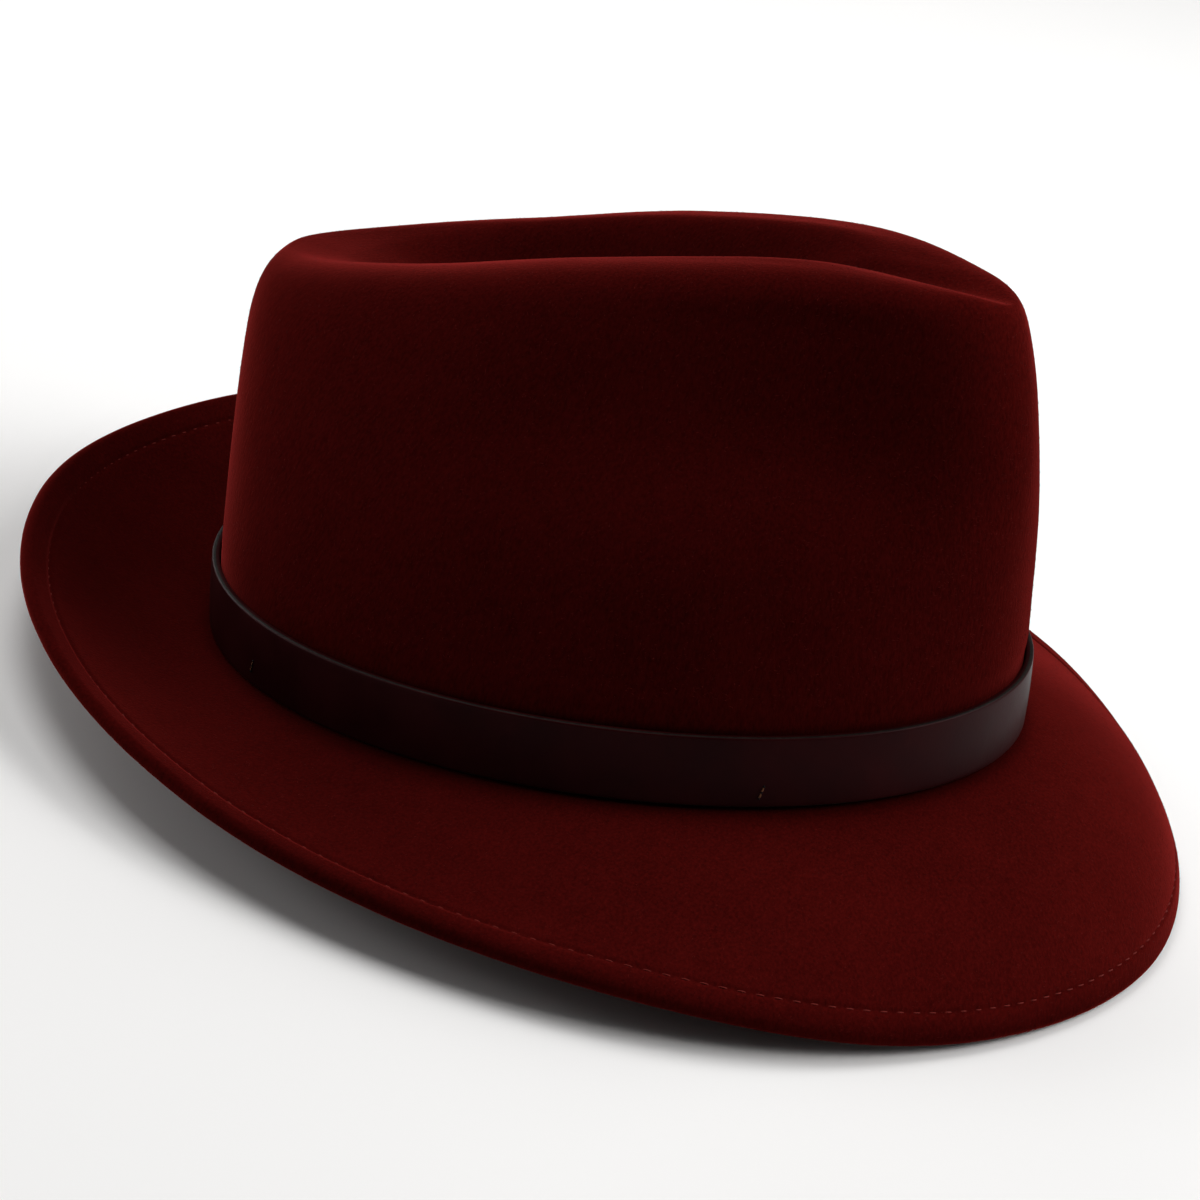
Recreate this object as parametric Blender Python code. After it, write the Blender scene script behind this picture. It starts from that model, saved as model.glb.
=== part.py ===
"""Snap-brim felt fedora with a teardrop crown, a front pinch and a plain leather band.

Metres, Z up, the hat's front towards -Y, the wearer's right towards -X. The hat is shaped in the frame
of its head opening, then turned back by REST_PITCH so that it stands on the front of its brim and on the
back of its opening. Angles around the hat run from the front, 0, over the wearer's left side, 90, to the
back, 180 degrees.
"""

import math
from typing import NamedTuple

import bpy
import numpy as np

# Felt and its edge
FELT = 0.0018
EDGE_RADIUS = FELT
EDGE_THICKNESS = 2.0 * FELT
WELT_WIDTH = 0.0095
WELT_STEP = 0.0006

# Head opening, measured on the outside of the felt at the crown's foot
HEAD_HALF_LENGTH = 0.1022
HEAD_HALF_WIDTH = 0.0884
HEAD_EGG = 0.064
BREAK_RADIUS = 0.0008

# Sizes that the station table takes shares of
BRIM_WIDTH = 0.0548
CROWN_HEIGHT = 0.1085
TOP_SINK = 0.0230
WALL_BULGE = 0.0023
WALL_LEAN = 0.0050
FOOT_ROLL = 0.0008

# Rim of the crown's sunk top
RIM_HALF_LENGTH = 0.0950
RIM_CENTRE_Y = 0.0043
RIM_HALF_WIDTH = 0.0275
RIM_TEARDROP = 0.36

# Wall of the crown
WALL_TAPER = 0.520
SHOULDER_POWER = 3.01
BULGE_SKEW = 1.46
ROLL_SHARE = 0.07
LEAN_POWER = 14.0

# Lowest point of the sunk top, its height as a share of the crown's
TOP_CENTRE_Y = 0.010
TOP_CENTRE_SHARE = 0.736
TOP_VALLEY = 0.80

# Pinch on either side of the nose
PINCH_DEPTH = 0.0124
PINCH_ANGLE = 44.8
PINCH_FRONT_SPREAD = 20.8
PINCH_BACK_SPREAD = 49.8
PINCH_HEIGHT = 0.672
PINCH_LOWER_REACH = 0.205
PINCH_UPPER_REACH = 0.262
PINCH_START = 0.12
PINCH_END = 0.12

# Leather band
BAND_GAP = 0.0003
BAND_THICKNESS = 0.0020
BAND_TOP = 0.0174
BAND_LIFT = 0.0005
BAND_CORNER = 0.0004

# Pose at rest
REST_PITCH = 9.6

# Fineness of the faceted solids
COLUMNS = 64
SLOPE_STEPS = 48
WALL_SHARES = (0.0, 0.05, 0.13, 0.25, 0.39, 0.53, 0.66, 0.77, 0.86, 0.93, 0.97, 0.993)
TOP_SHARES = (0.0, 0.08, 0.18, 0.32, 0.48, 0.64, 0.80)
BRIM_SHARES = (0.08, 0.20, 0.34, 0.50, 0.67, 0.84)
HEM_ANGLES = (45.0, 90.0, 135.0)


class Station(NamedTuple):
    """One direction around the hat: slopes in degrees, and lengths as shares of named sizes."""

    angle: float
    brim: float
    root_slope: float
    middle_slope: float
    edge_slope: float
    rim: float
    sink: float
    bulge: float
    roll: float
    lip: float
    lean: float


STATIONS = (
    #       angle  brim   root  middle  edge   rim    sink  bulge roll  lip   lean
    Station(0.0, 1.205, -21.0, -39.5, -83.0, 1.000, 0.08, 1.12, 1.00, 0.26, 0.00),
    Station(30.0, 1.170, -18.0, -35.0, -76.0, 1.027, 0.42, 1.10, 0.93, 0.20, 0.00),
    Station(60.0, 1.055, -10.0, -23.5, -27.0, 1.040, 0.98, 0.89, 0.80, 0.03, 0.00),
    Station(90.0, 0.973, -4.0, -10.0, 7.0, 0.973, 1.00, 0.35, 0.67, 0.00, 0.02),
    Station(120.0, 0.970, 1.0, 12.0, 33.0, 0.873, 0.90, 0.17, 0.53, 0.03, 0.20),
    Station(150.0, 0.983, 6.0, 27.5, 51.0, 0.808, 0.68, 0.17, 0.27, 0.12, 0.90),
    Station(180.0, 1.000, 10.0, 27.5, 52.0, 0.794, 0.55, 0.17, 0.13, 0.18, 1.00),
)


def around(column, angle):
    """Value of a column of the station table at an angle, the same on both sides of the hat."""
    folded = abs((angle + 180.0) % 360.0 - 180.0)
    values = [getattr(station, column) for station in STATIONS]
    step = STATIONS[1].angle - STATIONS[0].angle
    place = min(int(folded // step), len(values) - 2)
    share = folded / step - place
    before = values[abs(place - 1)]
    start = values[place]
    end = values[place + 1]
    after = values[place + 2] if place + 2 < len(values) else values[place]
    leave = (end - before) / 2.0
    arrive = (after - start) / 2.0
    square = share * share
    cube = square * share
    return (
        start * (2.0 * cube - 3.0 * square + 1.0)
        + leave * (cube - 2.0 * square + share)
        + end * (3.0 * square - 2.0 * cube)
        + arrive * (cube - square)
    )


def ease(share):
    """Rises from 0 to 1, level at both ends."""
    held = min(max(share, 0.0), 1.0)
    return held * held * (3.0 - 2.0 * held)


def head_oval(angle, grow=0.0):
    """Point on the head opening's oval, and the level outward direction there."""
    turn = math.radians(angle)
    half_length = HEAD_HALF_LENGTH
    half_width = HEAD_HALF_WIDTH
    y = -half_length * math.cos(turn)
    swell = 1.0 + HEAD_EGG * y / half_length
    x = half_width * math.sin(turn) * swell
    slope_y = half_length * math.sin(turn)
    slope_x = half_width * (math.cos(turn) * swell + math.sin(turn) ** 2 * HEAD_EGG)
    outward = np.array([slope_y, -slope_x, 0.0]) / math.hypot(slope_x, slope_y)
    return np.array([x, y, 0.0]) + outward * grow, outward


def rim_point(angle):
    """Point on the rim round the sunk top of the crown."""
    turn = math.radians(angle)
    x = RIM_HALF_WIDTH * math.sin(turn) * (1.0 - RIM_TEARDROP * math.cos(turn))
    y = RIM_CENTRE_Y - RIM_HALF_LENGTH * math.cos(turn)
    return np.array([x, y, CROWN_HEIGHT * around("rim", angle)])


def pinch(angle, share):
    """How deep the front pinch is at an angle and at a share of the wall's height."""
    folded = abs((angle + 180.0) % 360.0 - 180.0)
    spread = PINCH_FRONT_SPREAD if folded < PINCH_ANGLE else PINCH_BACK_SPREAD
    reach = PINCH_LOWER_REACH if share < PINCH_HEIGHT else PINCH_UPPER_REACH
    sideways = (folded - PINCH_ANGLE) / spread
    upward = (share - PINCH_HEIGHT) / reach
    deep = PINCH_DEPTH * math.exp(-sideways * sideways - upward * upward)
    return deep * ease(share / PINCH_START) * ease((1.0 - share) / PINCH_END)


def wall_point(angle, share):
    """Point on the outside of the crown's wall, at a share of the way up from the band's top to the rim."""
    foot, outward = head_oval(angle)
    rim = rim_point(angle)
    shoulder = 1.0 - (1.0 - share**SHOULDER_POWER) ** (1.0 / SHOULDER_POWER)
    inset = WALL_TAPER * share + (1.0 - WALL_TAPER) * shoulder
    swell = WALL_BULGE * around("bulge", angle) * math.sin(math.pi * share**BULGE_SKEW)
    swell += FOOT_ROLL * around("roll", angle) * ease(share / ROLL_SHARE) * (1.0 - share)
    swell += WALL_LEAN * around("lean", angle) * share * (1.0 - share**LEAN_POWER)
    point = foot * (1.0 - inset) + rim * inset + outward * (swell - pinch(angle, share))
    point[2] = BAND_TOP + (rim[2] - BAND_TOP) * share
    return point


def top_centre():
    """Lowest point of the sunk top."""
    return np.array([0.0, TOP_CENTRE_Y, CROWN_HEIGHT * TOP_CENTRE_SHARE])


def top_point(angle, share):
    """Point on the sunk top, from the rim, share 0, to the centre, share 1."""
    rim = rim_point(angle)
    centre = top_centre()
    point = rim * (1.0 - share) + centre * share
    floor = (rim[2] - TOP_SINK * around("sink", angle)) * (1.0 - share) + centre[2] * share
    lip = around("lip", angle)
    sunk = ease((share - lip) / (TOP_VALLEY - lip))
    point[2] = rim[2] * (1.0 - sunk) + floor * sunk
    return point


def brim_section(angle):
    """Brim's top face at an angle, as steps of reach and rise from the crown's foot to the edge."""
    width = BRIM_WIDTH * around("brim", angle)
    root = around("root_slope", angle)
    middle = around("middle_slope", angle)
    edge = around("edge_slope", angle)
    reach = [0.0]
    rise = [0.0]
    for step in range(SLOPE_STEPS):
        share = (step + 0.5) / SLOPE_STEPS
        root_part = (1.0 - share) * (1.0 - 2.0 * share)
        middle_part = 4.0 * share * (1.0 - share)
        edge_part = share * (2.0 * share - 1.0)
        slope = math.radians(root * root_part + middle * middle_part + edge * edge_part)
        reach.append(reach[-1] + width / SLOPE_STEPS * math.cos(slope))
        rise.append(rise[-1] + width / SLOPE_STEPS * math.sin(slope))
    return width, reach, rise


def brim_point(angle, distance):
    """Point on the brim's top face, at a distance over the felt from the crown's foot."""
    width, reach, rise = brim_section(angle)
    steps = np.linspace(0.0, width, SLOPE_STEPS + 1)
    foot, outward = head_oval(angle)
    point = foot + outward * np.interp(distance, steps, reach)
    point[2] = np.interp(distance, steps, rise)
    return point


def break_points(angle):
    """Small hollow fillet where the wall turns into the brim, from the wall down."""
    corner = head_oval(angle)[0]
    upper = corner + np.array([0.0, 0.0, BREAK_RADIUS])
    lower = brim_point(angle, BREAK_RADIUS)
    middle = (upper + 2.0 * corner + lower) / 4.0
    return [upper, middle, lower]


def outer_rows(angles):
    """Rows of points over the felt's outer face, from the sunk top's centre out to the brim's edge."""
    rows = []
    for share in reversed(TOP_SHARES):
        rows.append([top_point(angle, share) for angle in angles])
    for share in reversed(WALL_SHARES):
        rows.append([wall_point(angle, share) for angle in angles])
    fillets = [break_points(angle) for angle in angles]
    for place in range(len(fillets[0])):
        rows.append([fillet[place] for fillet in fillets])
    widths = [BRIM_WIDTH * around("brim", angle) for angle in angles]
    pairs = list(zip(angles, widths))
    for share in BRIM_SHARES:
        rows.append([brim_point(angle, share * (width - WELT_WIDTH - WELT_STEP)) for angle, width in pairs])
    for inset in (WELT_WIDTH + WELT_STEP, WELT_WIDTH, EDGE_RADIUS):
        rows.append([brim_point(angle, width - inset) for angle, width in pairs])
    return np.array(rows)


def unit(vectors):
    """The same vectors, each one long."""
    return vectors / np.linalg.norm(vectors, axis=-1, keepdims=True)


def outward_normals(rows):
    """Directions out of the felt's outer face, at each point of its rows."""
    down = np.gradient(rows, axis=0)
    along = np.roll(rows, -1, axis=1) - np.roll(rows, 1, axis=1)
    return unit(np.cross(down, along))


def felt_rows(angles):
    """Closed stack of rows round the felt: outer face, rolled edge, under face."""
    outer = outer_rows(angles)
    normals = outward_normals(outer)
    downhill = unit(outer[-1] - outer[-2])
    centre = outer[-1] - normals[-1] * EDGE_RADIUS
    hem = []
    for hem_angle in HEM_ANGLES:
        turn = math.radians(hem_angle)
        hem.append(centre + EDGE_RADIUS * (normals[-1] * math.cos(turn) + downhill * math.sin(turn)))
    thickness = np.full(len(outer), FELT)
    thickness[-2:] = EDGE_THICKNESS
    under = outer - normals * thickness[:, None, None]
    return list(outer) + hem + list(under[::-1])


def poles():
    """Middle points that close the sunk top, on its outer and its inner side."""
    outer = top_centre()
    return np.array([outer, outer - (0.0, 0.0, FELT)])


def closed_mesh(name, rows, ends):
    """Mesh over closed rings of points, ended by two middle points or joined end to end."""
    columns = len(rows[0])
    points = [tuple(point) for row in rows for point in row]
    faces = []
    stack = len(rows) if ends is None else len(rows) - 1
    for row in range(stack):
        upper = row * columns
        lower = ((row + 1) % len(rows)) * columns
        for column in range(columns):
            beside = (column + 1) % columns
            faces.append((upper + column, lower + column, lower + beside, upper + beside))
    if ends is not None:
        last = (len(rows) - 1) * columns
        points.append(tuple(ends[0]))
        points.append(tuple(ends[1]))
        for column in range(columns):
            beside = (column + 1) % columns
            faces.append((len(points) - 2, column, beside))
            faces.append((len(points) - 1, last + beside, last + column))
    mesh = bpy.data.meshes.new(name)
    mesh.from_pydata(points, [], faces)
    mesh.update()
    return mesh


def band_ring(angle):
    """Section of the leather band at an angle, as a closed ring of points with eased corners."""
    inner = BAND_GAP
    outer = BAND_GAP + BAND_THICKNESS
    corner = BAND_CORNER
    foot = max(brim_point(angle, outer)[2], 0.0) + BAND_LIFT
    outline = (
        (inner, BAND_TOP - corner),
        (inner + corner, BAND_TOP),
        (outer - corner, BAND_TOP),
        (outer, BAND_TOP - corner),
        (outer, foot + corner),
        (outer - corner, foot),
        (inner + corner, foot),
        (inner, foot + corner),
    )
    ring = []
    for grow, height in outline:
        point = head_oval(angle, grow)[0]
        point[2] = height
        ring.append(point)
    return ring


def turned_back(points):
    """Points turned about the X axis from the head opening's frame to the pose at rest."""
    turn = math.radians(REST_PITCH)
    turned = np.array(points)
    y = turned[..., 1].copy()
    z = turned[..., 2].copy()
    turned[..., 1] = y * math.cos(turn) + z * math.sin(turn)
    turned[..., 2] = z * math.cos(turn) - y * math.sin(turn)
    return turned


def add_material(thing, name, colour, roughness):
    """Gives an object one plain Principled material."""
    material = bpy.data.materials.new(name)
    material.use_nodes = True
    shader = material.node_tree.nodes["Principled BSDF"]
    shader.inputs["Base Color"].default_value = (*colour, 1.0)
    shader.inputs["Roughness"].default_value = roughness
    thing.data.materials.append(material)


def add_object(name, mesh):
    """Adds a mesh to the scene as a smooth-shaded object that faces out."""
    thing = bpy.data.objects.new(name, mesh)
    bpy.context.scene.collection.objects.link(thing)
    for polygon in mesh.polygons:
        polygon.use_smooth = True
    return thing


def main():
    """Builds the hat."""
    for thing in list(bpy.data.objects):
        bpy.data.objects.remove(thing, do_unlink=True)
    angles = [360.0 * column / COLUMNS for column in range(COLUMNS)]
    rows = felt_rows(angles)
    felt_points = turned_back(rows)
    middle = turned_back(poles())
    low = felt_points.reshape(-1, 3).min(axis=0)
    high = felt_points.reshape(-1, 3).max(axis=0)
    seat = np.array([(low[0] + high[0]) / 2.0, (low[1] + high[1]) / 2.0, low[2]])
    felt = add_object("felt_body", closed_mesh("felt_body", felt_points - seat, middle - seat))
    add_material(felt, "burgundy_felt", (0.045, 0.003, 0.003), 0.95)
    ring = np.array([band_ring(angle) for angle in angles]).transpose(1, 0, 2)
    band = add_object("hat_band", closed_mesh("hat_band", turned_back(ring) - seat, None))
    add_material(band, "dark_leather", (0.012, 0.005, 0.005), 0.45)


main()
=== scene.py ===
"""Looks of a snap-brim fur felt fedora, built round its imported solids.

Metres, Z up, the hat's front towards -Y, the wearer's right towards -X. The hat is shaped in the frame of
its head opening, with the same sections as its solids, and then laid on the floor by HeadFrame. Angles
around the hat run from the front, 0, over the wearer's left side, 90, to the back, 180 degrees.
"""

import logging
import math
from dataclasses import dataclass, field
from enum import Enum
from typing import NamedTuple

import bpy
import numpy as np
from mathutils import Matrix, Vector, noise

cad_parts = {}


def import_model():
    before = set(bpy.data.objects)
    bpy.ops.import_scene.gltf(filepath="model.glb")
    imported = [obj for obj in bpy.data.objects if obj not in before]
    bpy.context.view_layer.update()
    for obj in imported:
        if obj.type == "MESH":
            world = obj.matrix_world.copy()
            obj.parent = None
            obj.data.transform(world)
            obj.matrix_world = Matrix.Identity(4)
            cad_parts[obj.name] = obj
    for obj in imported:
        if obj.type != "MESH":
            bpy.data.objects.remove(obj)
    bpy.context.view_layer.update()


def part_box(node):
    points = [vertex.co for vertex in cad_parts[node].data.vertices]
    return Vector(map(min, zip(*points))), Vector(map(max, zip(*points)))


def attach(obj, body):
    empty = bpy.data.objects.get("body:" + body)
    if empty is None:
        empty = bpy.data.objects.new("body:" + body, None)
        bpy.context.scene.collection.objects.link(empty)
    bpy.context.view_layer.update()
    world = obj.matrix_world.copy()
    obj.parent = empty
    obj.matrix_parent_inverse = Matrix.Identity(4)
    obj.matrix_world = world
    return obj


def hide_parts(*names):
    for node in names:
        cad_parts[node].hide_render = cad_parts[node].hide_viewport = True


LOG = logging.getLogger("fedora")
MM = 0.001


class Body(Enum):
    """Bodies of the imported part."""

    HAT = "root"


class Node(Enum):
    """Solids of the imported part."""

    FELT = "felt_body"
    BAND = "hat_band"


class Slot(Enum):
    """Material slots of the record."""

    FELT = "burgundy_felt"
    LEATHER = "dark_leather"


class Face(Enum):
    """Side of the brim that a row of stitches lies on, as the sign of the felt's outward direction."""

    OUTER = 1.0
    UNDER = -1.0


def linear(hex_colour: str) -> tuple[float, float, float, float]:
    """Turns an sRGB hex colour into the linear colour that a shader takes.

    Args:
        hex_colour: Six hex digits, red first.

    Returns:
        Linear red, green and blue, and an alpha of 1.
    """
    channels = []
    for start in (0, 2, 4):
        value = int(hex_colour[start:start + 2], 16) / 255.0
        channels.append(value / 12.92 if value <= 0.04045 else ((value + 0.055) / 1.055) ** 2.4)
    return channels[0], channels[1], channels[2], 1.0


def add_node(
    tree: bpy.types.NodeTree,
    kind: str,
    inputs: dict[str, object] | None = None,
    **settings: object,
) -> bpy.types.Node:
    """Adds one shader node with its settings, values and links.

    Args:
        tree: Node tree that takes the node.
        kind: Blender's name of the node's class.
        inputs: Values or output sockets by the input's name or identifier.
        **settings: Attributes of the node.

    Returns:
        The new node.
    """
    node = tree.nodes.new(kind)
    for name, value in settings.items():
        setattr(node, name, value)
    for name, value in (inputs or {}).items():
        socket = next(s for s in node.inputs if name in (s.identifier, s.name))
        if isinstance(value, bpy.types.NodeSocket):
            tree.links.new(value, socket)
        else:
            socket.default_value = value
    return node


def unit(vectors: np.ndarray) -> np.ndarray:
    """The same vectors, each one long."""
    return vectors / np.linalg.norm(vectors, axis=-1, keepdims=True)


def ease(share: np.ndarray | float) -> np.ndarray:
    """Rises from 0 to 1, level at both ends."""
    held = np.clip(share, 0.0, 1.0)
    return held * held * (3.0 - 2.0 * held)


def from_front(angles: np.ndarray) -> np.ndarray:
    """How many degrees each angle lies from the hat's front, on either side."""
    return np.abs((np.asarray(angles, float) + 180.0) % 360.0 - 180.0)


def front_share(angles: np.ndarray, turn: tuple[float, float]) -> np.ndarray:
    """Falls from 1 at the hat's front to 0 at its back.

    Args:
        angles: Angles around the hat, in degrees.
        turn: Where the fall starts and where it ends, in degrees from the front.

    Returns:
        One share for each angle.
    """
    near, far = turn
    return ease((far - from_front(angles)) / (far - near))


class Station(NamedTuple):
    """One direction around the hat: slopes in degrees, and lengths as shares of named sizes."""

    angle: float
    brim: float
    root_slope: float
    middle_slope: float
    edge_slope: float
    rim: float
    sink: float
    bulge: float
    roll: float
    lip: float
    lean: float


STATIONS = (
    #       angle  brim   root  middle  edge   rim    sink  bulge roll  lip   lean
    Station(0.0, 1.205, -21.0, -39.5, -83.0, 1.000, 0.08, 1.12, 1.00, 0.26, 0.00),
    Station(30.0, 1.170, -18.0, -35.0, -76.0, 1.027, 0.42, 1.10, 0.93, 0.20, 0.00),
    Station(60.0, 1.055, -10.0, -23.5, -27.0, 1.040, 0.98, 0.89, 0.80, 0.03, 0.00),
    Station(90.0, 0.973, -4.0, -10.0, 7.0, 0.973, 1.00, 0.35, 0.67, 0.00, 0.02),
    Station(120.0, 0.970, 1.0, 12.0, 33.0, 0.873, 0.90, 0.17, 0.53, 0.03, 0.20),
    Station(150.0, 0.983, 6.0, 27.5, 51.0, 0.808, 0.68, 0.17, 0.27, 0.12, 0.90),
    Station(180.0, 1.000, 10.0, 27.5, 52.0, 0.794, 0.55, 0.17, 0.13, 0.18, 1.00),
)


@dataclass(frozen=True)
class HatBlock:
    """Sizes of the blocked felt, and the sections that follow from them, in the head opening's frame."""

    # Felt, with the welt that is folded under the brim's edge, and the head opening's oval.
    felt: float = 1.8 * MM
    welt_width: float = 9.5 * MM
    welt_step: float = 0.6 * MM
    head_half_length: float = 102.2 * MM
    head_half_width: float = 88.4 * MM
    head_egg: float = 0.064
    break_radius: float = 0.8 * MM
    # Named sizes that the station table's shares are of.
    brim_width: float = 54.8 * MM
    crown_height: float = 108.5 * MM
    top_sink: float = 23.0 * MM
    wall_bulge: float = 2.3 * MM
    wall_lean: float = 5.0 * MM
    foot_roll: float = 0.8 * MM
    # Rim of the sunk top, and the way that the wall runs up to it.
    rim_half_length: float = 95.0 * MM
    rim_centre_y: float = 4.3 * MM
    rim_half_width: float = 27.5 * MM
    rim_teardrop: float = 0.36
    wall_taper: float = 0.520
    shoulder_power: float = 3.01
    bulge_skew: float = 1.46
    roll_share: float = 0.07
    lean_power: float = 14.0
    # Lowest point of the sunk top, and where its side ends.
    top_centre_y: float = 10.0 * MM
    top_centre_share: float = 0.736
    top_valley: float = 0.80
    # Front pinch: its middle in degrees and as a share of the wall's height, and how far it spreads.
    pinch_depth: float = 12.4 * MM
    pinch_angle: float = 44.8
    pinch_front_spread: float = 20.8
    pinch_back_spread: float = 49.8
    pinch_height: float = 0.672
    pinch_lower_reach: float = 0.205
    pinch_upper_reach: float = 0.262
    pinch_start: float = 0.12
    pinch_end: float = 0.12
    band_top: float = 17.4 * MM
    slope_steps: int = 48

    def around(self, column: str, angles: np.ndarray) -> np.ndarray:
        """Reads a column of the station table on a smooth curve, the same on both sides of the hat.

        Args:
            column: Name of the column.
            angles: Angles around the hat, in degrees.

        Returns:
            One value for each angle.
        """
        folded = from_front(angles)
        values = np.array([getattr(station, column) for station in STATIONS])
        step = STATIONS[1].angle - STATIONS[0].angle
        place = np.minimum((folded // step).astype(int), len(values) - 2)
        share = folded / step - place
        start = values[place]
        end = values[place + 1]
        after = values[np.where(place + 2 < len(values), place + 2, place)]
        leave = (end - values[np.abs(place - 1)]) / 2.0
        arrive = (after - start) / 2.0
        square = share * share
        cube = square * share
        return (
            start * (2.0 * cube - 3.0 * square + 1.0)
            + leave * (cube - 2.0 * square + share)
            + end * (3.0 * square - 2.0 * cube)
            + arrive * (cube - square)
        )

    def head_oval(self, angles: np.ndarray, grow: float = 0.0) -> tuple[np.ndarray, np.ndarray]:
        """Walks the head opening's oval.

        Args:
            angles: Angles around the hat, in degrees.
            grow: Distance outside the oval.

        Returns:
            Points on the oval, and the level outward direction at each.
        """
        turn = np.radians(angles)
        y = -self.head_half_length * np.cos(turn)
        swell = 1.0 + self.head_egg * y / self.head_half_length
        x = self.head_half_width * np.sin(turn) * swell
        slope_y = self.head_half_length * np.sin(turn)
        slope_x = self.head_half_width * (np.cos(turn) * swell + np.sin(turn) ** 2 * self.head_egg)
        level = np.zeros_like(x)
        outward = np.stack([slope_y, -slope_x, level], axis=-1) / np.hypot(slope_x, slope_y)[..., None]
        return np.stack([x, y, level], axis=-1) + outward * grow, outward

    def rim_points(self, angles: np.ndarray) -> np.ndarray:
        """Points on the rim round the sunk top of the crown.

        Args:
            angles: Angles around the hat, in degrees.

        Returns:
            One point for each angle.
        """
        turn = np.radians(angles)
        x = self.rim_half_width * np.sin(turn) * (1.0 - self.rim_teardrop * np.cos(turn))
        y = self.rim_centre_y - self.rim_half_length * np.cos(turn)
        return np.stack([x, y, self.crown_height * self.around("rim", angles)], axis=-1)

    def pinch(self, angles: np.ndarray, shares: np.ndarray) -> np.ndarray:
        """How deep the front pinch is.

        Args:
            angles: Angles around the hat, in degrees, one for each column.
            shares: Shares of the way up the wall, one for each row.

        Returns:
            Depths as rows by columns.
        """
        folded = from_front(angles)
        spread = np.where(folded < self.pinch_angle, self.pinch_front_spread, self.pinch_back_spread)
        reach = np.where(shares < self.pinch_height, self.pinch_lower_reach, self.pinch_upper_reach)
        sideways = (folded - self.pinch_angle) / spread
        upward = (shares - self.pinch_height) / reach
        deep = self.pinch_depth * np.exp(-sideways * sideways - upward * upward)
        return deep * ease(shares / self.pinch_start) * ease((1.0 - shares) / self.pinch_end)

    def wall_points(self, angles: np.ndarray, shares: np.ndarray) -> np.ndarray:
        """Points on the outside of the crown's wall.

        Args:
            angles: Angles around the hat, in degrees, one for each column.
            shares: Shares of the way up from the band's top to the rim, one for each row.

        Returns:
            Points as rows by columns.
        """
        rows = np.asarray(shares, float)[:, None]
        foot, outward = self.head_oval(angles)
        rim = self.rim_points(angles)
        shoulder = 1.0 - (1.0 - rows**self.shoulder_power) ** (1.0 / self.shoulder_power)
        inset = self.wall_taper * rows + (1.0 - self.wall_taper) * shoulder
        bulge = self.wall_bulge * self.around("bulge", angles) * np.sin(math.pi * rows**self.bulge_skew)
        roll = self.foot_roll * self.around("roll", angles) * ease(rows / self.roll_share) * (1.0 - rows)
        lean = self.wall_lean * self.around("lean", angles) * rows * (1.0 - rows**self.lean_power)
        push = bulge + roll + lean - self.pinch(angles, rows)
        points = foot * (1.0 - inset[..., None]) + rim * inset[..., None] + outward * push[..., None]
        points[..., 2] = self.band_top + (rim[:, 2] - self.band_top) * rows
        return points

    def top_centre(self) -> np.ndarray:
        """Lowest point of the sunk top."""
        return np.array([0.0, self.top_centre_y, self.crown_height * self.top_centre_share])

    def top_points(self, angles: np.ndarray, shares: np.ndarray) -> np.ndarray:
        """Points on the sunk top.

        Args:
            angles: Angles around the hat, in degrees, one for each column.
            shares: Shares of the way from the rim to the centre, one for each row.

        Returns:
            Points as rows by columns.
        """
        rows = np.asarray(shares, float)[:, None]
        rim = self.rim_points(angles)
        centre = self.top_centre()
        points = rim * (1.0 - rows[..., None]) + centre * rows[..., None]
        floor = (rim[:, 2] - self.top_sink * self.around("sink", angles)) * (1.0 - rows) + centre[2] * rows
        lip = self.around("lip", angles)
        sunk = ease((rows - lip) / (self.top_valley - lip))
        points[..., 2] = rim[:, 2] * (1.0 - sunk) + floor * sunk
        return points

    def brim_widths(self, angles: np.ndarray) -> np.ndarray:
        """Widths of the brim over the felt, one for each angle."""
        return self.brim_width * self.around("brim", angles)

    def brim_points(self, angles: np.ndarray, distances: np.ndarray) -> np.ndarray:
        """Points on the brim's top face.

        Args:
            angles: Angles around the hat, in degrees, one for each column.
            distances: Distances over the felt from the crown's foot, as rows by columns.

        Returns:
            Points as rows by columns.
        """
        widths = self.brim_widths(angles)
        shares = ((np.arange(self.slope_steps) + 0.5) / self.slope_steps)[:, None]
        slopes = np.radians(
            self.around("root_slope", angles) * (1.0 - shares) * (1.0 - 2.0 * shares)
            + self.around("middle_slope", angles) * 4.0 * shares * (1.0 - shares)
            + self.around("edge_slope", angles) * shares * (2.0 * shares - 1.0)
        )
        start = np.zeros((1, len(widths)))
        reach = np.concatenate([start, np.cumsum(widths / self.slope_steps * np.cos(slopes), axis=0)])
        rise = np.concatenate([start, np.cumsum(widths / self.slope_steps * np.sin(slopes), axis=0)])
        at = np.clip(distances / widths * self.slope_steps, 0.0, self.slope_steps - 1e-9)
        low = at.astype(int)
        part = at - low
        columns = np.arange(len(widths))[None, :]
        foot, outward = self.head_oval(angles)
        run = reach[low, columns] * (1.0 - part) + reach[low + 1, columns] * part
        points = foot + outward * run[..., None]
        points[..., 2] = rise[low, columns] * (1.0 - part) + rise[low + 1, columns] * part
        return points

    def brim_frames(
        self,
        angles: np.ndarray,
        distances: np.ndarray,
    ) -> tuple[np.ndarray, np.ndarray, np.ndarray]:
        """Finds places on the brim's top face and how the felt lies there.

        Args:
            angles: Angles around the hat, in degrees.
            distances: Distance over the felt from the crown's foot at each angle.

        Returns:
            Points, directions out of the felt, and directions outwards over the felt.
        """
        step = 0.2 * MM
        turn = 0.1
        here = self.brim_points(angles, distances[None])[0]
        out = unit(self.brim_points(angles, distances[None] + step)[0] - here)
        left = self.brim_points(angles + turn, distances[None])[0]
        right = self.brim_points(angles - turn, distances[None])[0]
        return here, unit(np.cross(out, left - right)), out


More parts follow.
